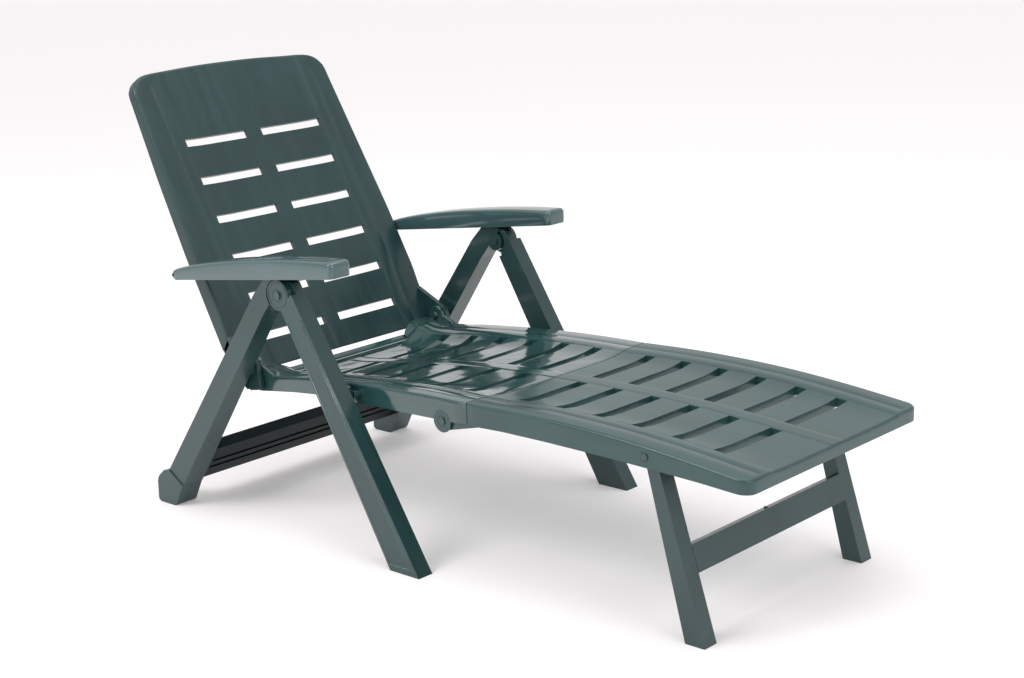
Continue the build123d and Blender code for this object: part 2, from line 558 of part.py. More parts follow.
def arm():
    body = slab(arm_outline(0), ARM_IN, ARM_OUT)
    body = body + rod(ARM_X, ARM_Z, ARM_END_R, ARM_IN, ARM_OUT)
    tip = body.edges().filter_by(Axis.Z).group_by(Axis.X)[-1]
    body = body.fillet(11, tip)
    solid = body
    body = body - slab(arm_outline(WALL), ARM_IN + WALL, ARM_OUT - WALL)
    body = body.cut(rod(ARM_X, ARM_Z, ARM_PIN_R + FIT, ARM_IN - 1, ARM_OUT - WALL))
    # rack: a toothed rib under the top, level with the catch's upper side
    run = hypot(CATCH_X - ARM_X, CATCH_Z - ARM_Z)
    level = atan2(CATCH_Z - ARM_Z, CATCH_X - ARM_X)

    def at(d, e):
        return (ARM_X + d * cos(level) - e * sin(level), ARM_Z + d * sin(level) + e * cos(level))

    tips = CATCH_R + TIP_RELIEF
    first, last = run - 16, run + RACK_PITCH * (RACK_NOTCHES - 1) + 16
    rack = slab([at(first, tips), at(last, tips), at(last, 60), at(first, 60)], RACK_IN, RACK_IN + RACK_WIDTH)
    for i in range(RACK_NOTCHES):
        x, z = at(run + RACK_PITCH * i, CATCH_R - 2)
        rack = rack - rod(x, z, CATCH_R + 0.6, RACK_IN - 1, RACK_IN + RACK_WIDTH + 1)
    return body + (rack & solid)


# ================================================================ pins
def pin(x, z, radius, y0, y1, heads):
    """A plain pin along Y with flat heads: a list of (y0, y1, radius)."""
    shape = rod(x, z, radius, y0, y1)
    for head in heads:
        shape = shape + rod(x, z, head[2], head[0], head[1])
    return shape


def back_pivot_pin():
    shape = pin(PIVOT_X, PIVOT_Z, PIVOT_PIN_R, SEAT_EAR_IN - 4, LAP - 2, [])
    dome = Solid.make_sphere(PIVOT_HEAD_R).moved(Location((PIVOT_X, SEAT_EAR_IN - 0.5, PIVOT_Z)))
    dome = dome & box(PIVOT_X - 20, PIVOT_X + 20, SEAT_EAR_IN - 7, SEAT_EAR_IN - 0.5, PIVOT_Z - 20, PIVOT_Z + 20)
    return shape + dome


def pivot_bush():
    outer = rod(PIVOT_X, PIVOT_Z, 16, EAR_OUT + GAP, REAR_IN - GAP)
    return outer - rod(PIVOT_X, PIVOT_Z, PIVOT_PIN_R + FIT, EAR_OUT, REAR_IN)


def leg_pivot_pin():
    return pin(APEX_X, APEX_Z, APEX_PIN_R, REAR_IN - HEAD, FRONT_OUT + HEAD,
               [(REAR_IN - HEAD, REAR_IN - 0.1, 9), (FRONT_OUT + 0.1, FRONT_OUT + HEAD, 9)])


def arm_pin():
    return pin(ARM_X, ARM_Z, ARM_PIN_R, EAR_OUT - 24, ARM_OUT - WALL - 1, [(EAR_OUT - 24, EAR_OUT - 20.1, 8.5)])


def knuckle_pin():
    return pin(KNUCKLE_X, KNUCKLE_Z, KNUCKLE_PIN_R, TONGUE_IN - 4, HALF + HEAD - 0.6,
               [(HALF + 0.1, HALF + HEAD - 0.6, 8), (TONGUE_IN - 4, TONGUE_IN - 0.4, 8)])


def foot_pivot_pin():
    return pin(FOOT_X, FOOT_Z, FOOT_PIN_R, FOOT_LUG_IN - 4, HALF + 2.4,
               [(HALF + 0.1, HALF + 2.4, 7), (FOOT_LUG_IN - 4, FOOT_LUG_IN - 0.4, 7.5)])


# ================================================================ assembly
SINGLE = {
    "backrest_panel": backrest(),
    "seat_panel": seat_panel(),
    "legrest_panel": legrest_panel(),
    "rear_crossbar": rear_crossbar(),
    "foot_crossbar": foot_crossbar(),
}
PAIRED = {
    "rear_leg": rear_leg(),
    "rear_foot_cap": rear_foot_cap(),
    "front_leg": front_leg(),
    "front_sole": front_sole(),
    "foot_leg": foot_leg(),
    "foot_sole": foot_sole(),
    "arm": arm(),
    "back_pivot_pin": back_pivot_pin(),
    "pivot_bush": pivot_bush(),
    "leg_pivot_pin": leg_pivot_pin(),
    "arm_pin": arm_pin(),
    "knuckle_pin": knuckle_pin(),
    "foot_pivot_pin": foot_pivot_pin(),
}

nodes = dict(SINGLE)
for name, shape in PAIRED.items():
    nodes[name + "_left"] = shape
    nodes[name + "_right"] = mirrored(shape)

low_x = min(shape.bounding_box().min.X for shape in nodes.values())
high_x = max(shape.bounding_box().max.X for shape in nodes.values())
shift = -(low_x + high_x) / 2

os.makedirs("parts", exist_ok=True)
for name, shape in nodes.items():
    export_step(shape.moved(Location((shift, 0, 0))), f"parts/{name}.step")

for name, x, z in (("back pivot", PIVOT_X, PIVOT_Z), ("apex", APEX_X, APEX_Z), ("arm", ARM_X, ARM_Z),
                   ("knuckle", KNUCKLE_X, KNUCKLE_Z), ("foot frame", FOOT_X, FOOT_Z)):
    print(f"{name} axis at x {x + shift:.3f}, z {z:.3f}")
print(f"shift {shift:.3f}, length {high_x - low_x:.1f}")
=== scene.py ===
import json
import math

import bpy
from mathutils import Matrix, Vector


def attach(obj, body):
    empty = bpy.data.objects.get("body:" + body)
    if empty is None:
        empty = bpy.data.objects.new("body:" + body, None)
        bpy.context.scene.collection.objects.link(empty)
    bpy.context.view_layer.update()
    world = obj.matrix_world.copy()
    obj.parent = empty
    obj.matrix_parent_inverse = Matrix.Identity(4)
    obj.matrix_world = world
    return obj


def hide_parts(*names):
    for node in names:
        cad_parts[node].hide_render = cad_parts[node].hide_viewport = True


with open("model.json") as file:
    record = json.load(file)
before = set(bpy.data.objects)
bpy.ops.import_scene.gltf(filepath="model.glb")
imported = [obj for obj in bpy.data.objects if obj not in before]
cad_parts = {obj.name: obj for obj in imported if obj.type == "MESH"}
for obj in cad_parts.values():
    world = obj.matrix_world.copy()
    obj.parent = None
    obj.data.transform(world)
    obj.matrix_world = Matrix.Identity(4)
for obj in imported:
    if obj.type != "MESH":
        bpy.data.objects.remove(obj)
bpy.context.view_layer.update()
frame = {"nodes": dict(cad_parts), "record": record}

# A folding sun lounger in glossy green plastic. The panels and the arms are remade here as moulded shells, which
# stand for their CAD nodes. Legs, caps, crossbars and pins stay the CAD model's own, with rounded edges.
#
# The object is laid out in millimetres: X from the seam between seat and leg rest towards the foot end, Y to the
# sitter's left and Z up. place() turns that into the row frame, which is in metres; the seam lies SHIFT metres
# from its origin, towards the foot end.
SHIFT = 0.183507
MM = 0.001
SIDES = (("left", 1), ("right", -1))

# Pivots seen from the side, as (x, z) in the layout.
PIVOT = (-645, 350)        # seat and back on the rear legs
APEX = (-470, 545)         # front legs on the rear legs
ARM = (-803, 553)          # arms on the back
CATCH = (-478, 590)        # where an arm's rack rests on its rear leg
KNUCKLE = (-66, 324)       # leg rest on the seat
FOOT = (451.6, 346.5)      # foot frame on the leg rest


# ---------------------------------------------------------------- small tools
def mesh_object(name, verts, faces, rounded_shading=True):
    mesh = bpy.data.meshes.new(name)
    mesh.from_pydata([tuple(v) for v in verts], [], faces)
    mesh.validate()
    mesh.update()
    obj = bpy.data.objects.new(name, mesh)
    bpy.context.scene.collection.objects.link(obj)
    if rounded_shading:
        mesh.polygons.foreach_set("use_smooth", [True] * len(mesh.polygons))
    return obj


def bevelled(obj, width, segments=3, angle=30):
    """Rounds the edges sharper than an angle in degrees; the width is in millimetres."""
    bevel = obj.modifiers.new("edges", "BEVEL")
    bevel.width = width * MM
    bevel.segments = segments
    bevel.limit_method = "ANGLE"
    bevel.angle_limit = math.radians(angle)
    bevel.harden_normals = True
    bevel.miter_outer = "MITER_ARC"


def moulded(obj):
    """Gives a shell the wall of a moulding, with slightly rounded edges."""
    wall = obj.modifiers.new("wall", "SOLIDIFY")
    wall.thickness = WALL * MM
    wall.offset = -1
    wall.use_quality_normals = True
    bevelled(obj, 0.8, 2, 50)


def dress(obj, body, material):
    obj.data.materials.append(material)
    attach(obj, body)


def through(knots):
    """A smooth function through a few knots (x, value)."""
    def slope(i):
        low, high = max(i - 1, 0), min(i + 1, len(knots) - 1)
        return (knots[high][1] - knots[low][1]) / (knots[high][0] - knots[low][0])

    def value(x):
        i = 0
        while i < len(knots) - 2 and x > knots[i + 1][0]:
            i += 1
        (x0, v0), (x1, v1) = knots[i], knots[i + 1]
        t = (x - x0) / (x1 - x0)
        if t < 0:
            return v0 + slope(i) * (x - x0)
        if t > 1:
            return v1 + slope(i + 1) * (x - x1)
        a, b = slope(i) * (x1 - x0), slope(i + 1) * (x1 - x0)
        return v0 + t * a + t * t * (3 * (v1 - v0) - 2 * a - b) + t ** 3 * (a + b - 2 * (v1 - v0))

    return value


def straight(knots, x):
    """Straight pieces through the knots, level outside them."""
    if x <= knots[0][0]:
        return knots[0][1]
    for (x0, v0), (x1, v1) in zip(knots, knots[1:]):
        if x <= x1:
            return v0 + (v1 - v0) * (x - x0) / (x1 - x0)
    return knots[-1][1]


def smooth(t):
    """An S-shaped step from 0 at t = 0 to 1 at t = 1."""
    t = min(max(t, 0.0), 1.0)
    return t * t * (3 - 2 * t)


def corner(over, radius):
    """How far a round corner pulls an edge in at a distance past the corner's start."""
    return radius - math.sqrt(max(radius * radius - over * over, 0.0)) if over > 0 else 0.0


def place(x, y, z):
    """Layout millimetres to the row frame."""
    return Vector((x * MM + SHIFT, y * MM, z * MM))


def span(sign, low, high):
    """A range of y on the left side, for sign 1, or its mirror image on the right, for sign -1."""
    return (low, high) if sign > 0 else (-high, -low)


def circle(x, z, radius):
    count = 40
    return [(x + radius * math.cos(2 * math.pi * i / count), z + radius * math.sin(2 * math.pi * i / count))
            for i in range(count)]


def hull(points):
    """The outline round some points."""
    points = sorted(set(points))

    def half_hull(seq):
        out = []
        for p in seq:
            while len(out) > 1 and ((out[-1][0] - out[-2][0]) * (p[1] - out[-2][1])
                                    - (out[-1][1] - out[-2][1]) * (p[0] - out[-2][0])) <= 0:
                out.pop()
            out.append(p)
        return out[:-1]

    return half_hull(points) + half_hull(points[::-1])


def signed_area(outline):
    """Twice the area inside an outline, negative where it runs clockwise."""
    return sum(a[0] * b[1] - b[0] * a[1] for a, b in zip(outline, outline[1:] + outline[:1]))


def plate(name, body, outline, across, width, material):
    """A flat piece from a side outline of (x, z), a range of y and the width of its rounded edges."""
    if signed_area(outline) < 0:
        outline = outline[::-1]
    count = len(outline)
    verts = [place(x, y, z) for y in across for x, z in outline]
    faces = [tuple(range(count)), tuple(reversed(range(count, 2 * count)))]
    faces += [(i, i + count, (i + 1) % count + count, (i + 1) % count) for i in range(count)]
    obj = mesh_object(name, verts, faces)
    if width:
        bevelled(obj, width)
    dress(obj, body, material)


def ring(name, body, x, z, y, radius, thick, material):
    """A thin raised ring on a side face."""
    around, tube = 48, 10
    verts, faces = [], []
    for i in range(around):
        a = 2 * math.pi * i / around
        after = (i + 1) % around
        for j in range(tube):
            b = 2 * math.pi * j / tube
            r = radius + thick * math.cos(b)
            verts.append(place(x + r * math.cos(a), y + thick * math.sin(b), z + r * math.sin(a)))
            above = (j + 1) % tube
            faces.append((i * tube + j, i * tube + above, after * tube + above, after * tube + j))
    dress(mesh_object(name, verts, faces), body, material)


def bead(name, body, start, end, y, sign, half_width, proud, material):
    """A rounded line that stands proud of the side face at y, from start to end, both (x, z)."""
    along = Vector((end[0] - start[0], end[1] - start[1])).normalized()
    count, verts = 9, []
    for x, z in (start, end):
        for k in range(count):
            a = math.pi * k / (count - 1)
            verts.append(place(x - along.y * half_width * math.cos(a), y + sign * proud * math.sin(a),
                               z + along.x * half_width * math.cos(a)))
    faces = [(k, k + 1, count + k + 1, count + k) for k in range(count - 1)]
    faces += [(count - 1, 0, count, 2 * count - 1), tuple(range(count))[::-1], tuple(range(count, 2 * count))]
    if sign > 0:
        faces = [face[::-1] for face in faces]
    dress(mesh_object(name, verts, faces), body, material)


# ---------------------------------------------------------------- materials
def plastic(name, base, rough, coat, ripple, streak, bump, grain, level=0.5):
    """Moulded plastic: gently uneven colour, faint flow streaks, slow waves and a fine orange-peel.

    rough sets the roughness, coat the clear coat's weight, ripple the waves' scale and bump their strength,
    streak how the streaks' pattern is squeezed along each axis, grain the orange-peel's strength and level the
    specular level."""
    dark, light = 0.82, 1.22
    mat = bpy.data.materials.new(name)
    mat.use_nodes = True
    nodes, links = mat.node_tree.nodes, mat.node_tree.links
    nodes.clear()
    out = nodes.new("ShaderNodeOutputMaterial")
    shader = nodes.new("ShaderNodeBsdfPrincipled")
    links.new(shader.outputs["BSDF"], out.inputs["Surface"])
    coords = nodes.new("ShaderNodeTexCoord")

    def noise(scale, detail, stretch=(1, 1, 1)):
        mapping = nodes.new("ShaderNodeMapping")
        mapping.inputs["Scale"].default_value = stretch
        tex = nodes.new("ShaderNodeTexNoise")
        tex.inputs["Scale"].default_value = scale
        tex.inputs["Detail"].default_value = detail
        tex.inputs["Roughness"].default_value = 0.55
        links.new(coords.outputs["Object"], mapping.inputs["Vector"])
        links.new(mapping.outputs["Vector"], tex.inputs["Vector"])
        return tex.outputs["Fac"]

    def ramp(value, low, high, a, b):
        node = nodes.new("ShaderNodeMapRange")
        node.inputs["From Min"].default_value = low
        node.inputs["From Max"].default_value = high
        node.inputs["To Min"].default_value = a
        node.inputs["To Max"].default_value = b
        links.new(value, node.inputs["Value"])
        return node.outputs["Result"]

    def bumps(height, strength, distance):
        node = nodes.new("ShaderNodeBump")
        node.inputs["Strength"].default_value = strength
        node.inputs["Distance"].default_value = distance
        links.new(height, node.inputs["Height"])
        return node

    cloud = noise(5, 3)
    flow = noise(9, 4, streak)
    mix = nodes.new("ShaderNodeMix")
    mix.data_type = "RGBA"
    mix.inputs["A"].default_value = (*[c * dark for c in base], 1)
    mix.inputs["B"].default_value = (*[min(c * light, 1) for c in base], 1)
    blend = nodes.new("ShaderNodeMath")
    blend.operation = "ADD"
    links.new(ramp(cloud, 0.35, 0.65, 0.0, 0.5), blend.inputs[0])
    links.new(ramp(flow, 0.35, 0.65, 0.0, 0.5), blend.inputs[1])
    links.new(blend.outputs[0], mix.inputs["Factor"])
    links.new(mix.outputs["Result"], shader.inputs["Base Color"])
    links.new(ramp(flow, 0.3, 0.7, rough * 0.85, rough * 1.2), shader.inputs["Roughness"])
    shader.inputs["IOR"].default_value = 1.5
    shader.inputs["Specular IOR Level"].default_value = level
    shader.inputs["Coat Weight"].default_value = coat
    shader.inputs["Coat Roughness"].default_value = 0.08
    waves = bumps(noise(ripple, 1), bump, 0.004)
    fine = bumps(noise(900, 2), grain, 0.0004)
    links.new(waves.outputs["Normal"], fine.inputs["Normal"])
    links.new(fine.outputs["Normal"], shader.inputs["Normal"])
    links.new(waves.outputs["Normal"], shader.inputs["Coat Normal"])
    return mat


GREEN = (0.016, 0.054, 0.053)
seat_mat = plastic("seat_gloss", GREEN, rough=0.11, coat=0.8, ripple=14, streak=(0.25, 3, 3), bump=0.35,
                   grain=0.01)
panel_mat = plastic("panel_gloss", GREEN, rough=0.30, coat=0.2, ripple=10, streak=(0.25, 3, 3), bump=0.12,
                    grain=0.03)
back_mat = plastic("back_gloss", (0.009, 0.036, 0.037), rough=0.34, coat=0.08, ripple=8, streak=(0.5, 4, 0.5),
                   bump=0.1, grain=0.03)
frame_mat = plastic("frame_gloss", (0.012, 0.041, 0.042), rough=0.29, coat=0.25, ripple=9, streak=(1, 2, 0.4),
                    bump=0.08, grain=0.03)
# painted sheen: the arms' base is lighter than the rest of the green plastic, standing in for the sheen on their
# lit tops; the grip ridges, racks and hubs share it
painted_sheen_mat = plastic("arm_painted_sheen", (0.040, 0.086, 0.090), rough=0.18, coat=0.8, ripple=9, streak=(0.3, 2, 2),
                  bump=0.08, grain=0.02)
# painted shade: the crossbar's near-black base stands in for the shadow it lies in
painted_shade_bar_mat = plastic("bar_painted_shade", (0.004, 0.010, 0.011), rough=0.4, coat=0.0, ripple=9, streak=(3, 0.3, 1),
                  bump=0.08, grain=0.03, level=0.2)
pin_mat = plastic("pin_gloss", (0.016, 0.044, 0.042), rough=0.2, coat=0.4, ripple=20, streak=(1, 1, 1),
                  bump=0.05, grain=0.02)

# The CAD model's own parts get rounded edges and a material. The crossbar behind the legs gets the darkest one, a
# painted shade for the shadow it lies in.
SLOT_MATERIAL = {"panel_plastic": panel_mat, "frame_plastic": frame_mat, "arm_plastic": painted_sheen_mat,
                 "foot_plastic": frame_mat, "pin_plastic": pin_mat}
slot_of = {part["node"]: part["material_slot"] for part in frame["record"]["subparts"]}
for name, node in frame["nodes"].items():
    node.data.materials.clear()
    node.data.materials.append(painted_shade_bar_mat if name == "rear_crossbar" else SLOT_MATERIAL[slot_of[name]])
    for polygon in node.data.polygons:
        polygon.material_index = 0
    if slot_of[name] in ("frame_plastic", "foot_plastic"):
        bevelled(node, 4.0 if "cap" in name else 2.2 if "crossbar" in name else 3.0, 4, 28)
    elif slot_of[name] == "pin_plastic":
        bevelled(node, 0.8, 2, 40)

# ---------------------------------------------------------------- panels
WALL = 3.2                        # the shells' wall
PANEL_HALF = 290                  # half-width of the seat and the leg rest
EDGE, SEAM = 6.0, 2.2             # radius of the rolled edges, and of the edges that meet at the seam
GAP = 0.75                        # half the gap at the seam
PITCH = 16                        # grid lines along a panel
SLOT_IN, SLOT_OUT = 22.0, 205.0   # a slot's ends, from the middle
BACK_SLOT, PANEL_SLOT = 19.0, 26.0
FLANGE, DEEP = 9.0, 19.0          # depth of the walls round the slots of the back, and of the other panels
SINK, BACK_SINK = 1.4, 1.3        # the surface lies this far under the CAD model's, and its relief stands on it
CROSS = [0, 10, 19, 20.6, 22, 42, 68, 94, 120, 146, 172, 192, 205, 206.5, 208.5, 224, 240.5, 242, 243.5, 262]
RELIEF = [(19, 0.45), (20.6, 0), (206.5, 0), (208.5, 0.8), (240.5, 0.8), (242, 0.1), (243.5, 0.8)]
SPINE_END = 100                   # the relief nearer the middle than this is the spine's
FULL_RIM, NARROW_RIM = 280, 275   # CROSS is spaced for the first; below the second its outer lines are squeezed
ROLL_STEPS = 5                    # rings round a rolled edge


def panel(name, body, material, to_place, lines, height, half, arch, slots, bottom, seam, width, depth, spine):
    """A moulded panel: a gridded top with slots, rolled edges and a skirt.

    to_place takes (u, v, h) along, across and out of the panel. lines are stations along it, height(u, v) its
    surface, half(u) its half-width, arch(u, v) how far a point moves along, slots the slots' middles, bottom(u)
    the skirt's lower edge, seam(u) the edge roll's radius, width the slots' width, depth how far their walls
    hang and spine(u) how strongly the middle strip stands out."""
    edges = sorted(set(lines + [s - width / 2 for s in slots] + [s + width / 2 for s in slots]))
    count_v = 2 * len(CROSS) + 1
    verts, faces = [], []

    def across(u, index):
        """The across position of a grid line; index runs over CROSS and the rim."""
        sign = -1 if index < len(CROSS) else 1
        k = abs(index - len(CROSS))
        rim = half(u) - EDGE
        if k == len(CROSS):
            return sign * rim
        v = CROSS[k]
        if v > SLOT_OUT and rim < NARROW_RIM:
            v = SLOT_OUT + (v - SLOT_OUT) * (rim - SLOT_OUT) / (FULL_RIM - SLOT_OUT)
        return sign * v

    for u in edges:
        for j in range(count_v):
            v = across(u, j)
            moved = u + arch(u, v)
            relief = straight(RELIEF, abs(v)) * (spine(u) if abs(v) < SPINE_END else 1.0)
            verts.append((moved, v, height(moved, v) + relief))

    def at(i, j):
        return i * count_v + j

    def in_slot(u, v):
        return any(abs(u - s) < width / 2 for s in slots) and SLOT_IN < abs(v) < SLOT_OUT

    for i in range(len(edges) - 1):
        for j in range(count_v - 1):
            u = (edges[i] + edges[i + 1]) / 2
            v = (verts[at(i, j)][1] + verts[at(i, j + 1)][1]) / 2
            if not in_slot(u, v):
                faces.append((at(i, j), at(i + 1, j), at(i + 1, j + 1), at(i, j + 1)))

    def hang(loop, rings):
        """Joins rings of new vertices, one after another, to a closed loop."""
        size = len(loop)
        previous = loop
        for new in rings:
            current = list(range(len(verts), len(verts) + size))
            verts.extend(new)
            for a in range(size):
                b = (a + 1) % size
                faces.append((previous[a], previous[b], current[b], current[a]))
            previous = current

    # the walls round the slots
    for s in slots:
        i0 = edges.index(s - width / 2)
        i1 = edges.index(s + width / 2)
        for sign in (-1, 1):
            inside = [j for j in range(count_v)
                      if SLOT_IN - 0.01 <= sign * verts[at(i0, j)][1] <= SLOT_OUT + 0.01]
            j0, j1 = min(inside), max(inside)
            loop = [at(i, j0) for i in range(i0, i1)] + [at(i1, j) for j in range(j0, j1)]
            loop += [at(i, j1) for i in range(i1, i0, -1)] + [at(i0, j) for j in range(j1, j0, -1)]
            hang(loop, [[(verts[k][0], verts[k][1], verts[k][2] - depth) for k in loop]])

    # the rolled edge and the skirt, round a loop that runs clockwise
    end_u, end_v = len(edges) - 1, count_v - 1
    loop = [at(i, 0) for i in range(end_u)] + [at(end_u, j) for j in range(end_v)]
    loop += [at(i, end_v) for i in range(end_u, 0, -1)] + [at(0, j) for j in range(end_v, 0, -1)]
    loop.reverse()
    outward = []
    for a in range(len(loop)):
        before, after = verts[loop[a - 1]], verts[loop[(a + 1) % len(loop)]]
        along = Vector((after[0] - before[0], after[1] - before[1])).normalized()
        outward.append(Vector((-along.y, along.x)))
    rings = []
    for step in range(1, ROLL_STEPS + 1):
        angle = math.pi / 2 * step / ROLL_STEPS
        new = []
        for out, k in zip(outward, loop):
            x, y, z = verts[k]
            r = seam(x)
            new.append((x + out.x * r * math.sin(angle), y + out.y * r * math.sin(angle),
                        z - r * (1 - math.cos(angle))))
        rings.append(new)
    rolled = rings[-1]
    for part in (0.35, 0.7, 1.0):
        rings.append([(x, y, z + (min(bottom(x), z - 1.0) - z) * part) for x, y, z in rolled])
    hang(loop, rings)
    obj = mesh_object(name, [to_place(*v) for v in verts], faces)
    moulded(obj)
    dress(obj, body, material)
    return obj


def rise(y):
    """0 over the flat middle of a dished panel, 1 on its rim."""
    flat, slope = 150, 90
    return smooth((abs(y) - flat) / slope)


def bloom(y):
    """1 over the flat middle of a dished panel, 0 on its rim."""
    return 1 - rise(y)


def stations(low, high, fine=()):
    """Evenly spaced grid lines about PITCH apart, and finer ones round a corner."""
    count = round((high - low) / PITCH)
    return [low + (high - low) * i / count for i in range(count + 1)] + list(fine)


# ---------------------------------------------------------------- seat and leg rest
SEAT_REAR = -668
LIP_FRONT = -643           # where the shell's grid takes over from the rear lip
LEGREST_END, LEGREST_CORNER = 680, 20
seat_rim = through([(-668, 343), (-645, 342), (-585, 337), (-475, 348.5), (-331, 361), (-195, 368.6),
                    (-90, 371.8), (0, 372.6)])
seat_middle = through([(-668, 316), (-645, 307), (-590, 309), (-475, 325), (-331, 343), (-195, 356), (-90, 362),
                       (0, 364.1)])
legrest_rim = through([(0, 372.6), (95, 375.8), (190, 377.2), (300, 375.6), (403, 371), (521, 361.3),
                       (600, 352.8), (680, 343.4)])
legrest_dish = through([(0, 8.5), (250, 9), (520, 7), (680, 2.5)])
SEAT_SKIRT = [(-668, 290), (-596, 300), (-518, 310), (-450, 316.5), (-317, 320), (-129, 324), (0, 327)]
LEGREST_SKIRT = [(0, 327), (100, 330.5), (211, 330.5), (346, 328.5), (454, 325.5), (576, 321), (680, 315)]

seat = panel(
    "seat_shell", "seat", seat_mat, place,
    lines=stations(LIP_FRONT + 1, -GAP - SEAM),
    height=lambda u, v: seat_rim(u) + (seat_middle(u) - seat_rim(u)) * bloom(v) - SINK,
    half=lambda u: PANEL_HALF,
    arch=lambda u, v: 0.0,
    slots=[-68 - 93 * i for i in range(6)],
    bottom=lambda u: straight(SEAT_SKIRT, u),
    seam=lambda u: SEAM if u > -4 or u < -640 else EDGE,
    width=PANEL_SLOT, depth=DEEP, spine=lambda u: 1.0)
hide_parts("seat_panel")

legrest = panel(
    "legrest_shell", "legrest", panel_mat, place,
    lines=stations(GAP + SEAM, 654, (659, 664, 668, 671, 673, 674)),
    height=lambda u, v: legrest_rim(u) - legrest_dish(u) * bloom(v) - SINK,
    half=lambda u: PANEL_HALF - corner(u - (LEGREST_END - EDGE - LEGREST_CORNER), LEGREST_CORNER),
    arch=lambda u, v: 0.0,
    slots=[80 + 95.3 * i for i in range(6)],
    bottom=lambda u: straight(LEGREST_SKIRT, u),
    seam=lambda u: SEAM if u < 4 else EDGE,
    width=PANEL_SLOT, depth=DEEP, spine=lambda u: 1.0)
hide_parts("legrest_panel")

# the seat's rear lip, hollowed round the path of the back's lower edge
SWEEP = 40.6               # radius of that hollow, round the pivot
LIP_THICK = 3.5


def lip_point(x):
    return x, PIVOT[1] - math.sqrt(SWEEP * SWEEP - (x - PIVOT[0]) ** 2)


lip = [lip_point(SEAT_REAR + (LIP_FRONT - SEAT_REAR) * k / 8) for k in range(9)]
plate("seat_rear_lip", "seat",
      lip + [(x, z - LIP_THICK) for x, z in lip[:0:-1]]
      + [(SEAT_REAR + LIP_THICK, 312), (SEAT_REAR + LIP_THICK, 290), (SEAT_REAR, 290)],
      (-289.7, 289.7), 0.8, seat_mat)

# the rounded rear ends of the seat's rims
CURL = 32.0                # radius of the drum round the pivot that they stay inside
CURL_IN, CURL_LONG = 181, 108.8
CURL_RIM, CURL_MIDDLE = 342, 311


def curl(name, sign):
    """The end of a rim: under the seat's surface and inside the drum."""
    count, arc, verts, faces = 14, 8, [], []
    for i in range(count):
        y = CURL_IN + CURL_LONG * i / (count - 1)
        top = CURL_RIM + (CURL_MIDDLE - CURL_RIM) * bloom(y) - corner(y - (PANEL_HALF - EDGE), EDGE)
        reach = math.sqrt(CURL * CURL - (PIVOT[1] - top) ** 2)
        first = math.atan2(top - PIVOT[1], -reach)
        start = first if first > 0 else first + 2 * math.pi
        section = [(LIP_FRONT, top), (PIVOT[0] - reach * 0.5, top)]
        for k in range(arc + 1):
            a = start + (1.5 * math.pi - start) * k / arc
            section.append((PIVOT[0] + CURL * math.cos(a), PIVOT[1] + CURL * math.sin(a)))
        section.append((LIP_FRONT, PIVOT[1] - CURL))
        verts += [place(x, sign * y, z) for x, z in section]
    size = len(section)
    for i in range(count - 1):
        for j in range(size):
            k = (j + 1) % size
            faces.append((i * size + j, i * size + k, (i + 1) * size + k, (i + 1) * size + j))
    faces += [tuple(range(size))[::-1], tuple(range((count - 1) * size, count * size))]
    if sign > 0:
        faces = [face[::-1] for face in faces]
    obj = mesh_object(name, verts, faces)
    bevelled(obj, 0.8, 2, 40)
    dress(obj, "seat", seat_mat)


for side, sign in SIDES:
    curl("seat_curl_" + side, sign)
for side, sign in SIDES:
    plate("seat_rear_side_" + side, "seat", [(SEAT_REAR + 0.4, 290.5), (LIP_FRONT, 294)] + lip[::-1],
          span(sign, 286.4, 289.9), 0.8, seat_mat)

# ---------------------------------------------------------------- back
# s runs down the back from its topmost slot, and h out of its face, towards the sitter.
TILT = math.radians(61.1)
DOWN = (math.cos(TILT), -math.sin(TILT))
OUT = (math.sin(TILT), math.cos(TILT))
PIVOT_S, PIVOT_H = 548, 33.3
BACK_X = PIVOT[0] - PIVOT_S * DOWN[0] - PIVOT_H * OUT[0]
BACK_Z = PIVOT[1] - PIVOT_S * DOWN[1] - PIVOT_H * OUT[1]
BACK_TOP, BACK_LOW = -190, 557
TOP_CORNER, LOW_CORNER = 46, 12
ARCH, ARCH_HALF = 12, 245         # how far the top edge drops at its corners, and the y where it has done so


def back_point(s, h):
    """A point of the back's side view as layout (x, z)."""
    return BACK_X + s * DOWN[0] + h * OUT[0], BACK_Z + s * DOWN[1] + h * OUT[1]


def back_place(s, y, h):
    x, z = back_point(s, h)
    return place(x, y, z)


def back_half(s):
    return (straight([(-118, PANEL_HALF), (250, 303)], s) - corner(BACK_TOP + EDGE + TOP_CORNER - s, TOP_CORNER)
            - corner(s - (BACK_LOW - EDGE - LOW_CORNER), LOW_CORNER))


def back_arch(s, y):
    return ARCH * (min(abs(y), ARCH_HALF) / ARCH_HALF) ** 2.4 * (1 - smooth((s - BACK_TOP) / 90))


back = panel(
    "back_shell", "backrest", back_mat, back_place,
    lines=stations(-184, 528, (-182, -179, -175, 536, 542, 546, 549, 551)),
    height=lambda s, y: 6 * (1 - smooth((s - 395) / 83)) * rise(y) - BACK_SINK,
    half=back_half,
    arch=back_arch,
    slots=[96.2 * i for i in range(6)],
    bottom=lambda s: straight([(-190, -18), (60, -29), (480, -36), (505, -30), (507, -4), (557, -4)], s),
    seam=lambda s: 3.0 if s > 500 else EDGE,
    width=BACK_SLOT, depth=FLANGE, spine=lambda s: smooth((s + 24) / 14))
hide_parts("backrest_panel")

